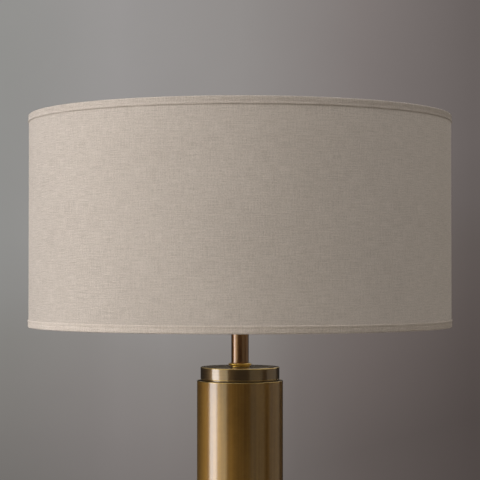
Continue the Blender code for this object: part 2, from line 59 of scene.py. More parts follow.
GAP = 0.0003                    # clearance between pieces that touch
LEVEL_TOLERANCE = 1e-6          # heights closer than this are level
TOWARDS_REAR = -90.0            # turns about X that lay a piece's Z along +Y, or along -Y
TOWARDS_FRONT = 90.0
CLOTH = 0.0006                  # thickness of the linen
TAPE = 0.0005                   # thickness of the folded trim
THREAD_SPACING = 0.00075        # of the linen's weave
SHADE_LOW = levels_of("shade_trim_bottom")[0]
SHADE_HIGH = levels_of("shade_trim_top")[1]
TRIM_RADIUS = radius_of("shade_trim_top")
TRIM_HEIGHT = SHADE_HIGH - levels_of("shade_trim_top")[0]
LINEN_RADIUS = TRIM_RADIUS - 0.0009
LINER_RADIUS = radius_of("shade_liner")
RING_RADIUS = radius_of("shade_bottom_ring")
RING_WIRE = 0.0016              # radius of the shade's wire rings
ARM_WIRE = 0.0014               # radius of the spider's arms
ARM_ANGLES = (90.0, 210.0, 330.0)
LINER_WALL = 0.0006
TRIM_RETURN = 0.006             # height of the trim's inner leg, inside the drum
HEM_WIDTH = 0.0014              # the raw edge turned under along the trim's outer leg
HEM_RISE = 0.0004               # how far the doubled hem stands out from the trim
RIM_ROUND = 0.0016              # radius of the trim where it turns over the wire ring
SEAM_ANGLE = 90.0               # the linen's lapped seam is at the rear
SEAM_LAP = 2.7                  # degrees that one end laps over the other
LAYER_GAP = 0.0001              # clearance between two layers of cloth
SEAM_RISE = CLOTH + LAYER_GAP   # how far the upper layer stands out there
SEAM_RAMP = 1.6                 # degrees over which the trim rises to pass over the seam
NOTCH_HALF_WIDTH = 0.8          # degrees to each side of an arm where the top trim has no inner leg
PIPE_HOLE = 0.0056              # radius of the hole for the lamp pipe
SOCKET_HOLE = 0.0053            # the same in the socket's cap, which is screwed on the pipe
STUD_HOLE = 0.0035              # radius of the hole for the harp's stud
GROOVE_HEIGHT = 0.0012          # the recessed step between a disc and the column
GROOVE_DEPTH = 0.0020
COLUMN_WALL = 0.0012
NECK_WALL = 0.00135
COVER_WALL = 0.0015
SOCKET_WALL = 0.0008
SADDLE_TOP = levels_of("harp_saddle")[0] + 0.0012
HARP_WIRE = 0.0018
HARP_FOOT_X = 0.0283
EYE_HALF = 0.0019               # half the height of the harp's eye
SPIDER_LEVEL = levels_of("shade_spider")[0] + ARM_WIRE
WASHER_HALF = 0.0008            # half the thickness of the spider's washer
SLEEVE_HOLE = 0.0038
SLEEVE_RADIUS = 0.0046
INLET_HOLE = 0.0046             # the hole for the bushing in the base's rim
SHAFT_HOLE = 0.0028             # the hole for the switch's shaft
THREAD_PITCH = 0.0254 / 7       # medium Edison screw
THREAD_DEPTH = 0.0005
THREAD_RADIUS = 0.0125
FLUTES = 12                     # around the switch knob
FLUTE_DEPTH = 0.05              # as a share of the knob's radius
GLASS_WALL = 0.001
EASED_EDGE = 0.00025            # bevel of the small stamped parts


# ---- Mesh helpers ----
def add_object(name, mesh, materials, smooth_angle=30.0):
    obj = bpy.data.objects.new(name, mesh)
    bpy.context.scene.collection.objects.link(obj)
    for material in materials:
        mesh.materials.append(material)
    mesh.shade_smooth()
    mesh.set_sharp_from_angle(angle=math.radians(smooth_angle))
    return obj


def finish_mesh(name, bm):
    bmesh.ops.recalc_face_normals(bm, faces=bm.faces)
    mesh = bpy.data.meshes.new(name)
    bm.to_mesh(mesh)
    bm.free()
    return mesh


def turns(count):
    """The angles of that many even steps around a full turn."""
    return [2.0 * math.pi * i / count for i in range(count)]


def circle(bm, radius, height, segments):
    """A ring of vertices around Z; without a radius it is one vertex on the axis."""
    if radius == 0.0:
        return [bm.verts.new((0.0, 0.0, height))]
    return [bm.verts.new((radius * math.cos(a), radius * math.sin(a), height)) for a in turns(segments)]


def skin(bm, first, second, index=0):
    """Faces between two closed rings of vertices; a ring of one vertex is a point on the axis."""
    count = max(len(first), len(second))
    if count == 1:
        return
    for i in range(count):
        j = (i + 1) % count
        corners = [ring[k % len(ring)] for ring, k in ((first, i), (first, j), (second, j), (second, i))]
        bm.faces.new(list(dict.fromkeys(corners))).material_index = index


def skin_all(bm, rings, closed=True):
    """Faces between rings that follow each other, and, where closed, from the last ring to the first."""
    for ring, after in zip(rings, rings[1:] + (rings[:1] if closed else [])):
        skin(bm, ring, after)


def rounded(corners, steps=4):
    """Points of a section from corners of (radius, height, rounding).

    Each point is (radius, height, whether a rounded edge starts there).
    """
    points = []
    for i, (r, z, rounding) in enumerate(corners):
        corner = Vector((r, z))
        if rounding == 0.0:
            points.append((r, z, False))
            continue
        before = Vector(corners[i - 1][:2])
        after = Vector(corners[(i + 1) % len(corners)][:2])
        start = corner + (before - corner).normalized() * rounding
        end = corner + (after - corner).normalized() * rounding
        for k in range(steps + 1):
            t = k / steps
            p = start * (1 - t) ** 2 + corner * 2 * t * (1 - t) + end * t ** 2
            points.append((p.x, p.y, k < steps))
    return points


def turned(name, corners, materials, segments=160, steps=4):
    """A solid turned about Z. Its rounded edges take the second material and its level faces the third."""
    bm = bmesh.new()
    points = rounded(corners, steps)
    rings = [circle(bm, r, z, segments) for r, z, _ in points]
    edge_index = min(1, len(materials) - 1)
    flat_index = 2 if len(materials) > 2 else 0
    for i, (ring, after) in enumerate(zip(rings, rings[1:] + rings[:1])):
        level = abs(points[(i + 1) % len(points)][1] - points[i][1]) < LEVEL_TOLERANCE
        skin(bm, ring, after, edge_index if points[i][2] else flat_index if level else 0)
    return add_object(name, finish_mesh(name, bm), materials)


def washer_section(hole, radius, low, high, edge, bore_edge):
    """Corners of a flat ring with rounded outer edges and rounded bore edges."""
    return [(hole, low, bore_edge), (radius, low, edge), (radius, high, edge), (hole, high, bore_edge)]


def tube_section(radius, wall, low, high, low_edge=0.0, high_edge=0.0, inner_edge=0.0):
    """Corners of a tube's wall."""
    return [(radius, low, low_edge), (radius, high, high_edge), (radius - wall, high, inner_edge),
            (radius - wall, low, inner_edge)]


def cutter(name, radius, low, high, material, segments=48):
    """A plain round solid that carves a hole."""
    section = [(0.0, low, 0.0), (radius, low, 0.0), (radius, high, 0.0), (0.0, high, 0.0)]
    return turned(name, section, [material], segments)


def carved(piece, tool):
    """Takes one solid out of another for good, and deletes it."""
    modifier = piece.modifiers.new("carve", "BOOLEAN")
    modifier.object = tool
    modifier.solver = "EXACT"
    depsgraph = bpy.context.evaluated_depsgraph_get()
    mesh = bpy.data.meshes.new_from_object(piece.evaluated_get(depsgraph))
    piece.modifiers.clear()
    piece.data = mesh
    bpy.data.objects.remove(tool)
    return piece


def moved(piece, offset, degrees=0.0):
    """Turns a piece's mesh about X and then moves it; the object stays at the origin."""
    piece.data.transform(Matrix.Translation(offset) @ Matrix.Rotation(math.radians(degrees), 4, "X"))
    return piece


def swept(bm, path, radius, sides=16, closed=False):
    """A round bar along a path, added to a mesh."""
    path = [Vector(point) for point in path]
    count = len(path)

    def tangent(i):
        if closed:
            return (path[(i + 1) % count] - path[i - 1]).normalized()
        return (path[min(i + 1, count - 1)] - path[max(i - 1, 0)]).normalized()

    side = tangent(0).orthogonal().normalized()
    rings = []
    for i, point in enumerate(path):
        along = tangent(i)
        side = (side - along * side.dot(along)).normalized()
        up = along.cross(side)
        spokes = [radius * (math.cos(a) * side + math.sin(a) * up) for a in turns(sides)]
        rings.append([bm.verts.new(point + spoke) for spoke in spokes])
    skin_all(bm, rings, closed)
    if not closed:
        bm.faces.new(rings[0])
        bm.faces.new(rings[-1])


def bezier(first, second, third, fourth, steps):
    """Points of a cubic curve after its first point; the second and third are its handles."""
    points = []
    for i in range(1, steps + 1):
        t = i / steps
        s = 1.0 - t
        weights = (s ** 3, 3 * s * s * t, 3 * s * t * t, t ** 3)
        corners = (first, second, third, fourth)
        points.append(tuple(sum(w * c[k] for w, c in zip(weights, corners)) for k in range(len(first))))
    return points


def place(piece, body, nodes):
    """Rides a piece on its body in place of CAD nodes, and hides those nodes."""
    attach(piece, body)
    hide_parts(*nodes)
    return piece


# ---- Material helpers ----
class Graph:
    """Adds nodes to one material and links them. Every value may be a number, a tuple or a socket."""

    def __init__(self, name):
        self.material = bpy.data.materials.new(name)
        self.material.use_nodes = True
        self.tree = self.material.node_tree
        self.shader = self.tree.nodes["Principled BSDF"]
        self.position = self.add("ShaderNodeTexCoord").outputs["Object"]

    def add(self, kind, **inputs):
        made = self.tree.nodes.new(kind)
        for key, value in inputs.items():
            self.feed(made.inputs[key.replace("_", " ")], value)
        return made

    def feed(self, socket, value):
        if isinstance(value, bpy.types.NodeSocket):
            self.tree.links.new(value, socket)
        else:
            socket.default_value = value

    def math(self, operation, *values):
        made = self.tree.nodes.new("ShaderNodeMath")
        made.operation = operation
        for socket, value in zip(made.inputs, values):
            self.feed(socket, value)
        return made.outputs[0]

    def scaled(self, vector, scale):
        made = self.tree.nodes.new("ShaderNodeVectorMath")
        made.operation = "MULTIPLY"
        self.feed(made.inputs[0], vector)
        made.inputs[1].default_value = scale
        return made.outputs[0]

    def noise(self, vector, detail=2.0, rough=0.5):
        """Noise from 0 to 1 with a grain of one unit of the vector."""
        made = self.add("ShaderNodeTexNoise", Vector=vector, Scale=1.0, Detail=detail, Roughness=rough)
        return made.outputs["Fac"]

    def remap(self, value, low, high, new_low, new_high):
        made = self.tree.nodes.new("ShaderNodeMapRange")
        for socket, item in zip(made.inputs, (value, low, high, new_low, new_high)):
            self.feed(socket, item)
        return made.outputs[0]

    def blend(self, factor, first, second):
        made = self.tree.nodes.new("ShaderNodeMix")
        made.data_type = "RGBA"
        self.feed(made.inputs["Factor"], factor)
        self.feed(made.inputs[6], (*first, 1.0) if isinstance(first, tuple) else first)
        self.feed(made.inputs[7], (*second, 1.0) if isinstance(second, tuple) else second)
        return made.outputs[2]

    def bump(self, height, distance, strength):
        made = self.add("ShaderNodeBump", Height=height, Distance=distance, Strength=strength)
        self.tree.links.new(made.outputs["Normal"], self.shader.inputs["Normal"])

    def around(self, radius):
        """(distance around the axis from the front, height, 0), in metres, for a piece of this radius."""
        split = self.add("ShaderNodeSeparateXYZ", Vector=self.position)
        angle = self.math("ARCTAN2", split.outputs["X"], self.math("MULTIPLY", split.outputs["Y"], -1.0))
        across = self.math("MULTIPLY", angle, radius)
        return self.add("ShaderNodeCombineXYZ", X=across, Y=split.outputs["Z"]).outputs[0]

    def radial(self):
        """(distance from the axis, height, 0), in metres."""
        split = self.add("ShaderNodeSeparateXYZ", Vector=self.position)
        x, y = split.outputs["X"], split.outputs["Y"]
        squares = self.math("ADD", self.math("MULTIPLY", x, x), self.math("MULTIPLY", y, y))
        return self.add("ShaderNodeCombineXYZ", X=self.math("SQRT", squares), Y=split.outputs["Z"]).outputs[0]

    def finish(self, **values):
        for key, value in values.items():
            name = key.replace("_", " ")
            self.feed(self.shader.inputs[name], value)
        return self.material


# ---- Materials ----
def linen(name, light, dark, radius, glow):
    """Plain weave of uneven flax threads with slubs, and a painted glow: emission that stands in for the
    light that seeps through it.
    """
    g = Graph(name)
    flat = g.around(radius)
    drift = g.noise(g.scaled(flat, (60.0, 60.0, 1.0)), detail=3.0)
    split = g.add("ShaderNodeSeparateXYZ", Vector=flat)
    wander = g.math("MULTIPLY", g.math("SUBTRACT", drift, 0.5), 0.0022)
    u = g.math("ADD", split.outputs["X"], wander)
    v = g.math("ADD", split.outputs["Y"], wander)
    warp_wave = g.math("SINE", g.math("MULTIPLY", u, math.pi / THREAD_SPACING))
    weft_wave = g.math("SINE", g.math("MULTIPLY", v, math.pi / THREAD_SPACING))
    over = g.math("GREATER_THAN", g.math("MULTIPLY", warp_wave, weft_wave), 0.0)
    warp = g.math("POWER", g.math("ABSOLUTE", warp_wave), 0.6)
    weft = g.math("POWER", g.math("ABSOLUTE", weft_wave), 0.6)
    warp_slub = g.noise(g.scaled(flat, (1000.0, 60.0, 1.0)), detail=3.0, rough=0.6)
    weft_slub = g.noise(g.scaled(flat, (50.0, 900.0, 1.0)), detail=3.0, rough=0.6)
    warp_height = g.math("MULTIPLY", warp, g.remap(warp_slub, 0.3, 0.75, 0.7, 1.3))
    weft_height = g.math("MULTIPLY", weft, g.remap(weft_slub, 0.3, 0.75, 0.7, 1.3))
    under = g.math("SUBTRACT", 1.0, over)
    weave = g.math("ADD", g.math("MULTIPLY", warp_height, over), g.math("MULTIPLY", weft_height, under))
    knots = g.noise(g.scaled(flat, (620.0, 620.0, 1.0)), detail=2.0, rough=0.7)
    clouds = g.noise(g.scaled(flat, (9.0, 12.0, 1.0)), detail=2.0)
    tone = g.math("ADD", g.math("MULTIPLY", warp_slub, 0.30), g.math("MULTIPLY", weft_slub, 0.38))
    tone = g.math("ADD", tone, g.math("MULTIPLY", knots, 0.50))
    tone = g.math("ADD", tone, g.math("MULTIPLY", clouds, 0.08))
    # The weave's relief also lightens the colour on the threads and darkens it between them: painted shade in
    # the weave's hollows.
    tone = g.math("ADD", tone, g.math("MULTIPLY", weave, 0.10))
    colour = g.blend(g.remap(tone, 0.53, 0.83, 0.0, 1.0), dark, light)
    relief = g.math("ADD", g.math("MULTIPLY", weave, 0.45), g.math("MULTIPLY", weft_slub, 0.9))
    relief = g.math("ADD", relief, g.math("MULTIPLY", warp_slub, 0.5))
    relief = g.math("ADD", relief, g.math("MULTIPLY", knots, 1.2))
    g.bump(relief, 0.0009, 0.6)
    return g.finish(Base_Color=colour, Roughness=g.remap(weave, 0.0, 1.3, 0.97, 0.84), Sheen_Weight=0.12,
                    Sheen_Roughness=0.5, Specular_IOR_Level=0.25, Emission_Color=(1.0, 0.90, 0.80, 1.0),
                    Emission_Strength=glow)


def styrene():
    g = Graph("styrene_white")
    mottle = g.noise(g.scaled(g.position, (45.0, 45.0, 45.0)), detail=4.0)
    grain = g.noise(g.scaled(g.position, (900.0, 900.0, 900.0)), detail=2.0)
    g.bump(grain, 0.0001, 0.2)
    colour = g.blend(mottle, (0.70, 0.67, 0.60), (0.80, 0.78, 0.72))
    return g.finish(Base_Color=colour, Roughness=g.remap(mottle, 0.3, 0.7, 0.42, 0.55))


def brushed_brass(name, pale, deep, stretch, coordinates="around", radius=0.05, rough=(0.34, 0.44),
                  coat_rough=0.14, coat_index=2.2):
    """Antique brass with brush marks. stretch scales (around, up) or (out, up), in marks per metre."""
    g = Graph(name)
    flat = g.around(radius) if coordinates == "around" else g.radial()
    fine = g.noise(g.scaled(flat, (stretch[0], stretch[1], 1.0)), detail=4.0, rough=0.65)
    broad = g.noise(g.scaled(flat, (stretch[0] * 0.16, stretch[1] * 0.35, 1.0)), detail=3.0)
    patina = g.noise(g.scaled(g.position, (14.0, 14.0, 7.0)), detail=5.0, rough=0.6)
    spots = g.noise(g.scaled(g.position, (210.0, 210.0, 210.0)), detail=3.0)
    tone = g.math("ADD", g.math("MULTIPLY", fine, 0.45), g.math("MULTIPLY", broad, 0.55))
    tone = g.math("ADD", tone, g.math("MULTIPLY", g.math("SUBTRACT", patina, 0.5), 0.5))
    tone = g.math("ADD", tone, g.math("MULTIPLY", g.math("SUBTRACT", spots, 0.5), 0.12))
    colour = g.blend(g.remap(tone, 0.34, 0.66, 0.0, 1.0), deep, pale)
    g.bump(g.math("ADD", fine, g.math("MULTIPLY", spots, 0.15)), 0.00004, 0.5)
    return g.finish(Base_Color=colour, Metallic=1.0, Roughness=g.remap(tone, 0.3, 0.7, rough[1], rough[0]),
                    Coat_Weight=1.0, Coat_Roughness=coat_rough, Coat_IOR=coat_index)


def painted_edge_highlight():
    """Rounded edges painted a paler gold: a painted highlight along the edges where they catch the light."""
    g = Graph("brass_painted_edge_highlight")
    highlight_mottle = g.noise(g.scaled(g.position, (45.0, 45.0, 45.0)), detail=4.0)
    colour = g.blend(g.remap(highlight_mottle, 0.35, 0.65, 0.0, 1.0), (0.62, 0.43, 0.15), (0.86, 0.64, 0.27))
    g.bump(highlight_mottle, 0.00005, 0.3)
    return g.finish(Base_Color=colour, Metallic=1.0, Roughness=g.remap(highlight_mottle, 0.3, 0.7, 0.30, 0.16),
                    Coat_Weight=0.3, Coat_Roughness=0.1)


def zinc():
    g = Graph("zinc_plated_steel")
    bloom = g.noise(g.scaled(g.position, (160.0, 160.0, 160.0)), detail=5.0, rough=0.65)
    colour = g.blend(bloom, (0.33, 0.34, 0.34), (0.62, 0.61, 0.57))
    g.bump(bloom, 0.00006, 0.4)
    return g.finish(Base_Color=colour, Metallic=1.0, Roughness=g.remap(bloom, 0.3, 0.7, 0.26, 0.48))


def cast_iron():
    g = Graph("cast_iron")
    sand = g.noise(g.scaled(g.position, (700.0, 700.0, 700.0)), detail=4.0, rough=0.7)
    rust = g.noise(g.scaled(g.position, (30.0, 30.0, 30.0)), detail=5.0)
    colour = g.blend(g.remap(rust, 0.5, 0.72, 0.0, 1.0), (0.045, 0.045, 0.047), (0.10, 0.055, 0.03))
    g.bump(sand, 0.0006, 0.7)
    return g.finish(Base_Color=colour, Metallic=0.5, Roughness=g.remap(sand, 0.3, 0.7, 0.62, 0.85))


def felt():
    g = Graph("black_felt")
    fibres = g.noise(g.scaled(g.position, (1500.0, 1500.0, 1500.0)), detail=6.0, rough=0.75)
    clumps = g.noise(g.scaled(g.position, (220.0, 220.0, 220.0)), detail=3.0)
    colour = g.blend(g.math("MULTIPLY", fibres, clumps), (0.018, 0.018, 0.020), (0.10, 0.10, 0.105))
    g.bump(g.math("ADD", fibres, clumps), 0.0008, 0.8)
    return g.finish(Base_Color=colour, Roughness=1.0, Sheen_Weight=0.5, Sheen_Roughness=0.6)


def phenolic():
    g = Graph("brown_black_phenolic")
    swirl = g.noise(g.scaled(g.position, (120.0, 120.0, 60.0)), detail=5.0, rough=0.6)
    colour = g.blend(g.remap(swirl, 0.4, 0.65, 0.0, 1.0), (0.012, 0.009, 0.008), (0.045, 0.024, 0.014))
    g.bump(swirl, 0.00008, 0.3)
    return g.finish(Base_Color=colour, Roughness=g.remap(swirl, 0.3, 0.7, 0.26, 0.42), Coat_Weight=0.2)


def opal_glass():
    g = Graph("opal_glass")
    cloud = g.noise(g.scaled(g.position, (60.0, 60.0, 60.0)), detail=3.0)
    frost = g.noise(g.scaled(g.position, (2600.0, 2600.0, 2600.0)), detail=2.0)
    g.bump(frost, 0.00004, 0.4)
    colour = g.blend(cloud, (0.80, 0.78, 0.73), (0.90, 0.89, 0.86))
    return g.finish(Base_Color=colour, Roughness=g.remap(frost, 0.3, 0.7, 0.24, 0.40), Subsurface_Weight=0.35,
                    Subsurface_Radius=(0.01, 0.009, 0.008), Subsurface_Scale=0.4, Coat_Weight=0.25)


def rolled_aluminium():
    g = Graph("rolled_aluminium")
    flat = g.around(0.013)
    lines = g.noise(g.scaled(flat, (60.0, 4200.0, 1.0)), detail=3.0)
    g.bump(lines, 0.00004, 0.5)
    colour = g.blend(lines, (0.46, 0.46, 0.45), (0.74, 0.73, 0.70))
    return g.finish(Base_Color=colour, Metallic=1.0, Roughness=g.remap(lines, 0.3, 0.7, 0.36, 0.20))


def insulation():
    g = Graph("brown_insulation")
    scuff = g.noise(g.scaled(g.position, (300.0, 300.0, 40.0)), detail=4.0)
    g.bump(scuff, 0.0001, 0.4)
    colour = g.blend(scuff, (0.06, 0.032, 0.016), (0.13, 0.075, 0.038))
    return g.finish(Base_Color=colour, Roughness=g.remap(scuff, 0.3, 0.7, 0.62, 0.45))


def fishpaper():
    g = Graph("vulcanised_fibre")
    fibre = g.noise(g.scaled(g.position, (500.0, 500.0, 120.0)), detail=5.0, rough=0.7)
    g.bump(fibre, 0.00015, 0.5)
    colour = g.blend(fibre, (0.17, 0.11, 0.06), (0.38, 0.28, 0.17))
    return g.finish(Base_Color=colour, Roughness=0.85)


# The drum's 0.07 is a painted glow: emission that stands in for light seeping through the shade, though the
# lamp is off.
LINEN = linen("linen_natural", (0.668, 0.595, 0.560), (0.427, 0.373, 0.344), LINEN_RADIUS, 0.07)
# The two trims are the drum's own linen in paler copies, set to how brightly each is lit: painted light,
# strongest on the bottom trim that catches light from above.
LINEN_TOP_PAINTED_LIGHT = linen("linen_top_trim_painted_light", (0.735, 0.656, 0.619), (0.492, 0.428, 0.393), TRIM_RADIUS, 0.0)
LINEN_BOTTOM_PAINTED_LIGHT = linen("linen_bottom_trim_painted_light", (0.880, 0.786, 0.742), (0.604, 0.527, 0.483), TRIM_RADIUS, 0.0)
STYRENE = styrene()
# The rounded edges of the column, discs, sleeves and finial bush take this paler gold: a painted highlight.
PAINTED_EDGE_HIGHLIGHT = painted_edge_highlight()
BRASS_COLUMN = brushed_brass("brass_brushed_lengthways", (0.43, 0.238, 0.050), (0.26, 0.132, 0.024),
                             (420.0, 3.0), rough=(0.54, 0.64), coat_rough=0.18)
BRASS_DISC = brushed_brass("brass_turned", (0.29, 0.182, 0.085), (0.17, 0.103, 0.045), (9.0, 2200.0),
                           coat_rough=0.13)
BRASS_FLAT = brushed_brass("brass_faced", (0.29, 0.182, 0.085), (0.17, 0.103, 0.045), (1900.0, 3.0), "radial",
                           coat_rough=0.13)
BRASS_NECK = brushed_brass("brass_copper_toned", (0.34, 0.165, 0.062), (0.21, 0.093, 0.033), (1100.0, 8.0),
                           radius=0.010, coat_rough=0.10, coat_index=1.95)
BRASS_RING = brushed_brass("brass_bright_ring", (0.78, 0.50, 0.090), (0.60, 0.36, 0.055), (60.0, 2600.0),
                           radius=0.013, rough=(0.26, 0.34), coat_rough=0.12, coat_index=1.4)
BRASS_SMALL = brushed_brass("brass_small_parts", (0.50, 0.30, 0.105), (0.28, 0.16, 0.05), (900.0, 900.0),
                            radius=0.012, rough=(0.34, 0.46), coat_index=1.8)
ZINC = zinc()
IRON = cast_iron()
FELT = felt()
PHENOLIC = phenolic()
OPAL = opal_glass()
ALUMINIUM = rolled_aluminium()
INSULATION = insulation()
FISHPAPER = fishpaper()


# ---- Shade ----
def degrees_apart(angle, bearing):
    """How far an angle in radians is from a bearing in degrees."""
    return abs((math.degrees(angle) - bearing + 180.0) % 360.0 - 180.0)


def eased(share):
    """A share from 0 to 1 that starts and stops gently."""
    share = min(1.0, max(0.0, share))
    return share * share * (3.0 - 2.0 * share)


def linen_wrap():
    """The outer linen: one strip wrapped round, whose end laps over its start."""
    low, high = levels_of("shade_fabric")
    lap = math.radians(SEAM_LAP)
    start = math.radians(SEAM_ANGLE) - lap / 2.0
    total = 2.0 * math.pi + lap
    ramp = lap * 0.8
    steps, rows = 720, 12
    bm = bmesh.new()
    columns = []
    for i in range(steps + 1):
        travelled = total * i / steps
        angle = start + travelled
        rise = SEAM_RISE * eased((travelled - (2.0 * math.pi - ramp)) / ramp)
        column = []
        for radius in (LINEN_RADIUS + rise, LINEN_RADIUS - CLOTH + rise):
            for k in range(rows + 1):
                z = low + (high - low) * k / rows
                column.append(bm.verts.new((radius * math.cos(angle), radius * math.sin(angle), z)))
        outer, inner = column[:rows + 1], column[rows + 1:]
        columns.append(outer + inner[::-1])
    skin_all(bm, columns, closed=False)
    for end in (columns[0], columns[-1]):
        for k in range(rows):
            bm.faces.new((end[k], end[k + 1], end[-k - 2], end[-k - 1]))
    return add_object("linen_wrap", finish_mesh("linen_wrap", bm), [LINEN])


def folded_trim(name, node, into, material):
    """A strip of the linen folded over one rim and its wire ring, its raw edge turned under into a hem.

    into is the way from the rim to the drum's middle: -1 at the top, 1 at the bottom.
    """
    rim = SHADE_HIGH if into < 0 else SHADE_LOW
    inner = RING_RADIUS - 2.0 * RING_WIRE - GAP - TAPE
    edge_level = rim + into * TRIM_HEIGHT
    hem = into * HEM_WIDTH
    bm = bmesh.new()
    rings = []
    for angle in turns(540):
        outer = LINEN_RADIUS + LAYER_GAP + TAPE
        outer += SEAM_RISE * eased((SEAM_LAP * 1.3 - degrees_apart(angle, SEAM_ANGLE)) / SEAM_RAMP)
        notched = into < 0 and min(degrees_apart(angle, arm) for arm in ARM_ANGLES) < NOTCH_HALF_WIDTH
        return_level = rim + into * (2.0 * TAPE if notched else TRIM_RETURN)
        section = rounded([
            (outer, rim, RIM_ROUND),
            (outer, edge_level - 2.2 * hem, 0.0006),
            (outer + HEM_RISE, edge_level - 1.2 * hem, 0.0006),
            (outer + HEM_RISE, edge_level, 0.0007),
            (outer - TAPE, edge_level, 0.0001),
            (outer - TAPE, rim + into * TAPE, RIM_ROUND - TAPE),
            (inner + TAPE, rim + into * TAPE, RIM_ROUND - TAPE),
            (inner + TAPE, return_level, 0.0002),
            (inner, return_level, 0.0002),
            (inner, rim, RIM_ROUND),
        ])
        rings.append([bm.verts.new((r * math.cos(angle), r * math.sin(angle), z)) for r, z, _ in section])
    skin_all(bm, rings)
    trim = add_object(name, finish_mesh(name, bm), [material])
    return place(trim, "shade", [node])


def ring_path(radius, height):
    return [(radius * math.cos(a), radius * math.sin(a), height) for a in turns(256)]


def make_drum():
    wrap = linen_wrap()
    place(wrap, "shade", ["shade_fabric"])
    trims = [folded_trim("trim_top", "shade_trim_top", -1, LINEN_TOP_PAINTED_LIGHT),
             folded_trim("trim_bottom", "shade_trim_bottom", 1, LINEN_BOTTOM_PAINTED_LIGHT)]

    low, high = levels_of("shade_liner")
    liner = turned("liner", tube_section(LINER_RADIUS, LINER_WALL, low, high), [STYRENE], segments=256)
    place(liner, "shade", ["shade_liner"])


def make_bottom_ring():
    bm = bmesh.new()
    low, high = levels_of("shade_bottom_ring")
    swept(bm, ring_path(RING_RADIUS - RING_WIRE, (low + high) / 2.0), RING_WIRE, closed=True)
    ring = add_object("bottom_ring", finish_mesh("bottom_ring", bm), [ZINC])
    place(ring, "shade", ["shade_bottom_ring"])


def make_spider():
    """The top ring and its three arms with their beads of weld, and the washer on the harp's stud."""
    centre = Vector((0.0, 0.0, SPIDER_LEVEL))
    top = Vector((0.0, 0.0, levels_of("shade_spider")[1] - RING_WIRE))
    hub_radius, bend_radius, handle = 0.0125, 0.2120, 0.012
    weld_shape = Matrix.Diagonal((1.0, 1.0, 0.8, 1.0))
    wire_radius = RING_RADIUS - RING_WIRE
    bm = bmesh.new()
    swept(bm, ring_path(wire_radius, top.z), RING_WIRE, closed=True)
    for degrees in ARM_ANGLES:
        out = Vector((math.cos(math.radians(degrees)), math.sin(math.radians(degrees)), 0.0))
        start, bend = centre + out * 0.0080, centre + out * bend_radius
        end = out * (wire_radius - 0.0004) + top
        path = [start, (start + bend) / 2.0, bend]
        path += bezier(bend, bend + out * handle, end - out * handle - Vector((0.0, 0.0, handle)), end, 14)
        swept(bm, path, ARM_WIRE)
        for weld, size in ((end, 0.0021), (centre + out * 0.0117, 0.0019)):
            bmesh.ops.create_uvsphere(bm, u_segments=16, v_segments=10, radius=size,
                                      matrix=Matrix.Translation(weld) @ weld_shape)
    spider = add_object("spider", finish_mesh("spider", bm), [ZINC])
    section = washer_section(STUD_HOLE, hub_radius, SPIDER_LEVEL - WASHER_HALF, SPIDER_LEVEL + WASHER_HALF,
                             0.0003, 0.0002)
    hub = turned("spider_washer", section, [ZINC], segments=64)
    for piece in (spider, hub):
        place(piece, "shade", ["shade_spider"])


# ---- Column, cap, foot and neck ----
def make_column():
    radius = radius_of("column_tube")
    low, high = levels_of("column_tube")
    section = tube_section(radius, COLUMN_WALL, low, high, 0.0006, 0.0007, 0.0002)
    column = turned("column", section, [BRASS_COLUMN, PAINTED_EDGE_HIGHLIGHT], segments=256)
    place(column, "stand", ["column_tube"])


def make_discs():
    """The turned discs at the column's ends, each stepped in where it meets the column."""
    for name, node, upper in (("cap", "column_cap", True), ("foot", "column_foot", False)):
        low, high = levels_of(node)
        radius = radius_of(node)
        wide, narrow = (high, low) if upper else (low, high)
        step = narrow + (GROOVE_HEIGHT if upper else -GROOVE_HEIGHT)
        disc = turned(name, [
            (PIPE_HOLE, wide, 0.0003), (radius, wide, 0.0010), (radius, step, 0.0010),
            (radius - GROOVE_DEPTH, step, 0.0), (radius - GROOVE_DEPTH, narrow, 0.0002),
            (PIPE_HOLE, narrow, 0.0002),
        ], [BRASS_DISC, PAINTED_EDGE_HIGHLIGHT, BRASS_FLAT], segments=256)
        place(disc, "stand", [node])


def make_neck():
    radius = radius_of("neck_tube")
    low, high = levels_of("neck_tube")
    section = tube_section(radius, NECK_WALL, low, high, 0.0004, 0.0006, 0.0002)
    tube = turned("neck", section, [BRASS_NECK], segments=128)
    place(tube, "stand", ["neck_tube"])

    outer = radius_of("neck_ring")
    low, high = levels_of("neck_ring")
    ring = turned("neck_flare", [
        (radius + GAP, low, 0.0), (outer - 0.0020, low, 0.0003), (outer - 0.0022, low + 0.0010, 0.0004),
        (outer - 0.0007, low + 0.0011, 0.0004), (outer, high - 0.0017, 0.0010),
        (outer - 0.0003, high, 0.0015), (radius + GAP, high, 0.0003),
    ], [BRASS_RING], segments=128)
    place(ring, "stand", ["neck_ring"])

    low, high = levels_of("neck_washer")
    section = washer_section(PIPE_HOLE, radius, low, high, 0.0003, 0.0001)
    washer = turned("neck_washer_top", section, [BRASS_SMALL], segments=96)
    place(washer, "stand", ["neck_washer"])


# ---- Base ----
def make_cover():
    """The spun cover over the weight, with a hole in its rim for the cable's bushing."""
    radius = radius_of("base_cover")
    low, high = levels_of("base_cover")
    cover = turned("base_shell", [
        (PIPE_HOLE, high, 0.0003), (radius, high, 0.0080), (radius, low, 0.0004),
        (radius - COVER_WALL, low, 0.0002), (radius - COVER_WALL, high - COVER_WALL, 0.0080 - COVER_WALL),
        (PIPE_HOLE, high - COVER_WALL, 0.0001),
    ], [BRASS_DISC, BRASS_DISC, BRASS_FLAT], segments=256, steps=10)
    low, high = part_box("cord_bushing")
    tool = cutter("inlet_cutter", INLET_HOLE, 0.0, 0.020, BRASS_DISC)
    carved(cover, moved(tool, (0.0, radius - 0.010, (low.z + high.z) / 2.0), TOWARDS_REAR))
    place(cover, "stand", ["base_cover"])


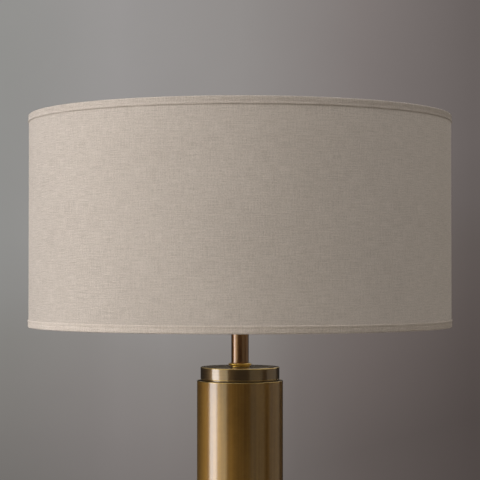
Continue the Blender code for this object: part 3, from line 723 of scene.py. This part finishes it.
def make_bushing():
    """The flanged bushing that the cable passes through, in the cover's rim."""
    low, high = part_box("cord_bushing")
    bushing = turned("inlet_bushing", [
        (0.0024, 0.0, 0.0003), (0.0042, 0.0, 0.0003), (0.0042, 0.0083, 0.0), (0.0060, 0.0083, 0.0003),
        (0.0060, 0.0104, 0.0009), (0.0024, 0.0104, 0.0009),
    ], [PHENOLIC], segments=64)
    moved(bushing, (0.0, low.y, (low.z + high.z) / 2.0), TOWARDS_REAR)
    place(bushing, "stand", ["cord_bushing"])


def make_felt():
    radius = radius_of("felt_pad")
    low, high = levels_of("felt_pad")
    pad = turned("felt_disc", [
        (0.0, low, 0.0), (radius, low, 0.0008), (radius, high, 0.0012), (0.0, high, 0.0),
    ], [FELT], segments=256)
    place(pad, "stand", ["felt_pad"])


# ---- Harp and socket ----
def make_harp():
    """The bent wire bow that carries the shade, with the flat eye that its stud stands in."""
    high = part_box("harp_bow")[1]
    foot = SADDLE_TOP + GAP
    top = high.z - EYE_HALF
    half = high.x - HARP_WIRE
    leg_top, widest = SADDLE_TOP + 0.029, SADDLE_TOP + 0.106
    side = [(HARP_FOOT_X, foot), (HARP_FOOT_X, (foot + leg_top) / 2.0), (HARP_FOOT_X, leg_top)]
    side += bezier(side[-1], (HARP_FOOT_X, leg_top + 0.034), (half, widest - 0.045), (half, widest), 20)
    side += bezier(side[-1], (half, widest + 0.055), (0.042, top), (0.0, top), 28)
    path = [(x, 0.0, z) for x, z in side] + [(-x, 0.0, z) for x, z in reversed(side[:-1])]
    bm = bmesh.new()
    swept(bm, path, HARP_WIRE, sides=20)
    bow = add_object("harp_wire", finish_mesh("harp_wire", bm), [BRASS_SMALL])
    carved(bow, cutter("eye_cutter", STUD_HOLE, top - 0.01, top + 0.01, BRASS_SMALL))
    section = washer_section(STUD_HOLE, 0.0075, top - EYE_HALF, top + EYE_HALF, 0.0007, 0.0002)
    eye = turned("harp_eye", section, [BRASS_SMALL], segments=64)
    for piece in (bow, eye):
        place(piece, "stand", ["harp_bow"])


def make_sleeves():
    """The two sleeves that lock the harp's feet, each with a groove near its top."""
    for side_name in ("left", "right"):
        node = "harp_sleeve_" + side_name
        low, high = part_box(node)
        sleeve = turned("sleeve_" + side_name, [
            (SLEEVE_HOLE, low.z, 0.0002), (SLEEVE_RADIUS, low.z, 0.0003),
            (SLEEVE_RADIUS, high.z - 0.0016, 0.0003), (SLEEVE_RADIUS - 0.0003, high.z - 0.0012, 0.0002),
            (SLEEVE_RADIUS, high.z - 0.0008, 0.0002), (SLEEVE_RADIUS, high.z, 0.0003),
            (SLEEVE_HOLE, high.z, 0.0002),
        ], [BRASS_SMALL, PAINTED_EDGE_HIGHLIGHT], segments=64)
        moved(sleeve, ((low.x + high.x) / 2.0, 0.0, 0.0))
        place(sleeve, "sleeve_" + side_name, [node])


def make_socket_cap():
    low, high = levels_of("socket_cap")
    outer = radius_of("socket_cap")
    inner = outer - SOCKET_WALL
    cap = turned("socket_dome", [
        (SOCKET_HOLE, low, 0.0002), (0.0075, low, 0.0003), (0.0075, low + 0.0070, 0.0012),
        (0.0095, low + 0.0086, 0.0008), (0.0140, low + 0.0112, 0.0016), (outer, low + 0.0150, 0.0016),
        (outer, high, 0.0002), (inner, high, 0.0002), (inner, low + 0.0154, 0.0012),
        (0.0134, low + 0.0120, 0.0012), (0.0090, low + 0.0095, 0.0008), (SOCKET_HOLE, low + 0.0082, 0.0003),
    ], [BRASS_SMALL], segments=96)
    place(cap, "stand", ["socket_cap"])


def make_socket_shell():
    """The socket's outer shell, with its bead, and the hole for the switch's shaft at the front."""
    low, high = levels_of("socket_shell")
    bead = radius_of("socket_shell")
    radius = bead - 0.0006
    shell = turned("socket_can", [
        (radius, low, 0.0002), (radius, high - 0.0100, 0.0004), (bead, high - 0.0085, 0.0010),
        (radius, high - 0.0070, 0.0004), (radius, high - 0.0015, 0.0004), (bead, high, 0.0003),
        (radius - SOCKET_WALL, high, 0.0002), (radius - SOCKET_WALL, low, 0.0002),
    ], [BRASS_SMALL], segments=96)
    knob_low, knob_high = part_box("switch_knob")
    level = (knob_low.z + knob_high.z) / 2.0
    tool = cutter("shaft_cutter", SHAFT_HOLE, 0.0, 0.006, BRASS_SMALL, segments=32)
    carved(shell, moved(tool, (0.0, -0.0195, level), TOWARDS_REAR))
    place(shell, "stand", ["socket_shell"])


def make_knob():
    """The switch's knob: a short tapered grip with flutes that run out before its crowned end."""
    low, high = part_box("switch_knob")
    bm = bmesh.new()
    rings = []
    profile = rounded([
        (0.0023, 0.0, 0.0), (0.0050, 0.0, 0.0004), (0.0058, 0.0015, 0.0008), (0.0054, 0.0115, 0.0012),
        (0.0042, 0.0135, 0.0012), (0.0, 0.0138, 0.0), (0.0, 0.0097, 0.0), (0.0023, 0.0097, 0.0),
    ])
    for r, z, _ in profile:
        if r == 0.0:
            rings.append(circle(bm, r, z, 1))
            continue
        depth = FLUTE_DEPTH * min(1.0, max(0.0, (0.0132 - z) / 0.0012)) if r > 0.0040 else 0.0
        ring = []
        for angle in turns(12 * FLUTES):
            reach = r * (1.0 + depth * math.cos(FLUTES * angle))
            ring.append(bm.verts.new((reach * math.cos(angle), reach * math.sin(angle), z)))
        rings.append(ring)
    skin_all(bm, rings)
    knob = add_object("knob_fluted", finish_mesh("knob_fluted", bm), [PHENOLIC], smooth_angle=50.0)
    moved(knob, (0.0, high.y, (low.z + high.z) / 2.0), TOWARDS_FRONT)
    place(knob, "switch", ["switch_knob"])


# ---- Bulb and finial ----
def make_globe():
    """The bulb's glass: a neck that swells on one curve into a ball, with an inside."""
    low, high = levels_of("bulb_glass")
    radius = radius_of("bulb_glass")
    centre = high - radius
    start = math.radians(-40.0)
    cheek = (radius * math.cos(start), centre + radius * math.sin(start))
    slope = (-math.sin(start), math.cos(start))
    neck, handle, steps = 0.0128, 0.014, 40
    before_cheek = (cheek[0] - handle * slope[0], cheek[1] - handle * slope[1])
    outside = [(neck, low)]
    outside += bezier(outside[0], (neck, low + 0.012), before_cheek, cheek, 18)
    for i in range(1, steps):
        angle = start + (math.pi / 2.0 - start) * i / steps
        outside.append((radius * math.cos(angle), centre + radius * math.sin(angle)))
    inside = [(max(r - GLASS_WALL, 0.0), min(z, high - GLASS_WALL)) for r, z in outside]
    outline = outside + [(0.0, high), (0.0, high - GLASS_WALL)] + inside[::-1]
    glass = turned("bulb_globe", [(r, z, 0.0) for r, z in outline], [OPAL], segments=128)
    place(glass, "bulb", ["bulb_glass"])


def make_bulb_thread():
    """The bulb's rolled screw base: a rounded thread between a taper below and a collar above."""
    low, high = levels_of("bulb_base")
    thread_low, thread_high = low + 0.0030, low + 0.0190
    segments, rows = 96, 88
    bm = bmesh.new()
    taper = ((0.0, low), (0.0062, low), (0.0112, thread_low - 0.0010))
    collar = ((0.0131, thread_high + 0.0012), (0.0131, high - 0.0003), (0.0128, high), (0.0, high))
    rings = [circle(bm, r, z, segments) for r, z in taper]
    for k in range(rows + 1):
        z = thread_low + (thread_high - thread_low) * k / rows
        ring = []
        for angle in turns(segments):
            r = THREAD_RADIUS + THREAD_DEPTH * math.sin(2.0 * math.pi * z / THREAD_PITCH - angle)
            ring.append(bm.verts.new((r * math.cos(angle), r * math.sin(angle), z)))
        rings.append(ring)
    rings += [circle(bm, r, z, segments) for r, z in collar]
    skin_all(bm, rings, closed=False)
    base = add_object("bulb_thread", finish_mesh("bulb_thread", bm), [ALUMINIUM], smooth_angle=50.0)
    place(base, "bulb_cap", ["bulb_base"])


def make_finial():
    low, high = levels_of("finial_insert")
    insert = turned("finial_bush", [
        (STUD_HOLE, low, 0.0002), (0.0080, low, 0.0003), (0.0080, low + 0.0014, 0.0004),
        (0.0050, low + 0.0014, 0.0), (0.0050, high, 0.0002), (STUD_HOLE, high, 0.0002),
    ], [BRASS_SMALL, PAINTED_EDGE_HIGHLIGHT], segments=64)
    place(insert, "finial_thread", ["finial_insert"])

    low, high = levels_of("finial_knob")
    radius = radius_of("finial_knob")
    centre = high - radius
    hole, hole_depth, steps = 0.0053, 0.0128, 28
    section = [(hole, low, 0.0), (0.0080, low, 0.0003), (0.0084, low + 0.0012, 0.0006),
               (0.0066, low + 0.0034, 0.0008), (0.0064, low + 0.0068, 0.0006)]
    for i in range(steps):
        angle = math.radians(-42.0 + 132.0 * i / steps)
        section.append((radius * math.cos(angle), centre + radius * math.sin(angle), 0.0))
    section += [(0.0, high, 0.0), (0.0, low + hole_depth, 0.0), (hole, low + hole_depth, 0.0)]
    knob = turned("finial_ball", section, [BRASS_SMALL], segments=96)
    place(knob, "finial", ["finial_knob"])


# ---- Small stamped parts ----
def make_eased_parts():
    """Pieces with the shape of a CAD node and eased edges."""
    for node, slot, material in (("harp_saddle", "brass", BRASS_SMALL), ("saddle_nut", "zinc_steel", ZINC),
                                 ("base_nut", "zinc_steel", ZINC)):
        mesh = bpy.data.objects[node].data.copy()
        mesh.materials.clear()
        piece = add_object(node + "_eased", mesh, [material])
        bevel = piece.modifiers.new("eased_edges", "BEVEL")
        bevel.width = EASED_EDGE
        bevel.segments = 2
        bevel.limit_method = "ANGLE"
        bevel.angle_limit = math.radians(40.0)
        place(piece, "stand", [node])


# ---- CAD nodes that keep their shape ----
CARRIED = {
    IRON: ["base_weight"],
    ZINC: ["base_washer", "base_lock_washer", "column_plate_lower", "lamp_pipe", "cap_nut", "harp_stud"],
    BRASS_FLAT: ["column_plate_upper"],
    INSULATION: ["supply_cable", "lead_left", "lead_right"],
    FISHPAPER: ["socket_insulator"],
    PHENOLIC: ["socket_body"],
    BRASS_SMALL: ["terminal_screw_left", "terminal_screw_right", "screw_shell", "centre_contact",
                  "switch_shaft", "bulb_contact"],
}


def dress_carried_nodes():
    for material, nodes in CARRIED.items():
        for node in nodes:
            obj = bpy.data.objects[node]
            for slot in obj.material_slots:
                slot.material = material


# ---- Studio ----
CAMERA_PLACE = (0.0, -1.9844, 1.3374)
CAMERA_TILT = 1.115             # degrees upwards
CAMERA_LENS = 123.3             # mm, for a sensor 36 mm wide
LIGHT_AIM = (0.0, 0.0, 1.30)    # every softbox faces this point
# The backdrop's painted light: its tone by the world direction's X, brightest left of the middle and darker
# to the right, and how it falls off by its Z.
BACKDROP = ((-0.14, (0.282, 0.279, 0.269)), (-0.073, (0.314, 0.301, 0.296)), (0.0, (0.283, 0.266, 0.258)),
            (0.073, (0.205, 0.181, 0.174)), (0.14, (0.138, 0.119, 0.114)))
# The backdrop darkens towards the bottom as painted shade, along a level that leans this much to the right.
FALL_OFF_LEAN = -0.20
FALL_OFF = ((-0.112, (0.575, 0.547, 0.535)), (-0.070, (0.672, 0.640, 0.628)), (-0.036, (0.765, 0.737, 0.722)),
            (-0.009, (0.825, 0.808, 0.790)), (0.021, (0.935, 0.930, 0.925)), (0.052, (1.0, 1.0, 1.0)))
# Behind the column the light reaches lower: how much the level is lifted, by the world direction's X.
FALL_OFF_LIFT = ((-0.14, 0.002), (-0.09, 0.012), (-0.045, 0.044), (0.015, 0.044), (0.035, 0.014),
                 (0.14, 0.003))
# The light that comes from around the lamp, by the world direction's Z: dim at eye level, bright overhead.
SURROUND = ((-0.2, 0.02), (0.28, 0.02), (0.46, 0.04), (1.0, 0.04))
SURROUND_TINT = (1.0, 0.970, 0.920)
# name, azimuth, distance, height, width, tall, watts, tint; azimuth 0 is in front and negative to the left
SOFTBOXES = (
    ("key_left", -75.5, 2.2, 1.35, 0.95, 2.3, 21.8, (1.0, 1.0, 0.995)),
    ("panel_left", -49.5, 2.4, 1.35, 1.20, 2.4, 9.0, (1.0, 0.90, 0.60)),
    ("overhead_front", -25.0, 1.7, 3.00, 2.6, 1.6, 27.5, (1.0, 0.975, 0.925)),
    ("overhead_left", -60.0, 1.9, 3.00, 1.8, 1.6, 10.0, (1.0, 0.980, 0.940)),
    ("overhead_right", 90.0, 1.9, 3.00, 1.8, 1.6, 10.4, (1.0, 0.970, 0.900)),
    ("overhead_back", 180.0, 1.9, 3.00, 2.6, 1.6, 23.5, (1.0, 0.975, 0.925)),
    ("fill_front_right", 48.0, 2.4, 1.35, 1.80, 2.4, 2.3, (1.0, 0.83, 0.50)),
    ("fill_right", 107.0, 2.4, 1.35, 2.00, 2.4, 2.8, (1.0, 0.86, 0.62)),
)


def make_camera():
    data = bpy.data.cameras.new("camera")
    data.lens = CAMERA_LENS
    data.sensor_width = 36.0
    data.clip_start = 0.05
    camera = bpy.data.objects.new("camera", data)
    camera.location = CAMERA_PLACE
    camera.rotation_euler = (math.radians(90.0 + CAMERA_TILT), 0.0, 0.0)
    bpy.context.scene.collection.objects.link(camera)
    bpy.context.scene.camera = camera


def make_floor():
    bm = bmesh.new()
    skin_all(bm, [circle(bm, radius, 0.0, 96) for radius in (0.0, 0.5, 1.5, 4.0)], closed=False)
    g = Graph("pale_floor")
    cloud = g.noise(g.scaled(g.position, (1.1, 1.1, 1.0)), detail=5.0, rough=0.6)
    grain = g.noise(g.scaled(g.position, (420.0, 420.0, 420.0)), detail=3.0)
    g.bump(grain, 0.0002, 0.3)
    colour = g.blend(cloud, (0.40, 0.385, 0.37), (0.50, 0.485, 0.465))
    material = g.finish(Base_Color=colour, Roughness=g.remap(grain, 0.3, 0.7, 0.70, 0.85))
    floor = add_object("floor", finish_mesh("floor", bm), [material])


def make_lights():
    for name, azimuth, distance, height, width, tall, watts, tint in SOFTBOXES:
        data = bpy.data.lights.new(name, "AREA")
        data.shape = "RECTANGLE"
        data.size, data.size_y = width, tall
        data.energy = watts
        data.color = tint
        light = bpy.data.objects.new(name, data)
        a = math.radians(azimuth)
        light.location = (distance * math.sin(a), -distance * math.cos(a), height)
        aim = Vector(LIGHT_AIM) - light.location
        light.rotation_euler = aim.to_track_quat("-Z", "Y").to_euler()
        light.visible_camera = False
        bpy.context.scene.collection.objects.link(light)


def make_world():
    """A grey studio: a mottled backdrop for the camera with painted light and shade on it, and a dim surround
    for light and reflections.
    """
    world = bpy.data.worlds.new("studio")
    bpy.context.scene.world = world
    world.use_nodes = True
    tree = world.node_tree
    tree.nodes.clear()

    def node(kind, **settings):
        made = tree.nodes.new(kind)
        for key, value in settings.items():
            setattr(made, key, value)
        return made

    direction = node("ShaderNodeTexCoord").outputs["Generated"]
    split = node("ShaderNodeSeparateXYZ")
    tree.links.new(direction, split.inputs[0])

    def ramp(stops, source):
        """A value or colour that changes between stops along a source socket."""
        low, high = stops[0][0], stops[-1][0]
        spread = node("ShaderNodeMapRange")
        spread.inputs["From Min"].default_value = low
        spread.inputs["From Max"].default_value = high
        tree.links.new(source, spread.inputs["Value"])
        made = node("ShaderNodeValToRGB")
        for _ in stops[2:]:
            made.color_ramp.elements.new(0.5)
        for element, (at, tone) in zip(made.color_ramp.elements, stops):
            element.position = (at - low) / (high - low)
            element.color = (*tone, 1.0) if isinstance(tone, tuple) else (tone, tone, tone, 1.0)
        tree.links.new(spread.outputs[0], made.inputs[0])
        return made.outputs[0]

    backdrop = node("ShaderNodeMix", data_type="RGBA", blend_type="MULTIPLY")
    backdrop.inputs["Factor"].default_value = 1.0
    tree.links.new(ramp(BACKDROP, split.outputs["X"]), backdrop.inputs[6])
    leaning = node("ShaderNodeMath", operation="MULTIPLY_ADD")
    leaning.inputs[1].default_value = FALL_OFF_LEAN
    tree.links.new(split.outputs["X"], leaning.inputs[0])
    tree.links.new(split.outputs["Z"], leaning.inputs[2])
    lifted = node("ShaderNodeMath", operation="ADD")
    tree.links.new(leaning.outputs[0], lifted.inputs[0])
    tree.links.new(ramp(FALL_OFF_LIFT, split.outputs["X"]), lifted.inputs[1])
    tree.links.new(ramp(FALL_OFF, lifted.outputs[0]), backdrop.inputs[7])
    clouds = node("ShaderNodeTexNoise")
    clouds.inputs["Scale"].default_value = 9.0
    clouds.inputs["Detail"].default_value = 6.0
    tree.links.new(direction, clouds.inputs["Vector"])
    mottle = node("ShaderNodeMapRange")
    for key, value in (("From Min", 0.25), ("From Max", 0.75), ("To Min", 0.96), ("To Max", 1.04)):
        mottle.inputs[key].default_value = value
    tree.links.new(clouds.outputs["Fac"], mottle.inputs["Value"])
    seen = node("ShaderNodeBackground")
    tree.links.new(backdrop.outputs[2], seen.inputs["Color"])
    tree.links.new(mottle.outputs[0], seen.inputs["Strength"])

    lit = node("ShaderNodeBackground")
    lit.inputs["Color"].default_value = (*SURROUND_TINT, 1.0)
    tree.links.new(ramp(SURROUND, split.outputs["Z"]), lit.inputs["Strength"])
    mix = node("ShaderNodeMixShader")
    tree.links.new(node("ShaderNodeLightPath").outputs["Is Camera Ray"], mix.inputs[0])
    tree.links.new(lit.outputs[0], mix.inputs[1])
    tree.links.new(seen.outputs[0], mix.inputs[2])
    tree.links.new(mix.outputs[0], node("ShaderNodeOutputWorld").inputs["Surface"])


make_camera()
make_drum()
make_bottom_ring()
make_spider()
make_column()
make_discs()
make_neck()
make_cover()
make_bushing()
make_felt()
make_harp()
make_sleeves()
make_socket_cap()
make_socket_shell()
make_knob()
make_globe()
make_bulb_thread()
make_finial()
make_eased_parts()
dress_carried_nodes()
make_floor()
make_world()
make_lights()

scene = bpy.context.scene
scene.view_settings.view_transform = "Standard"
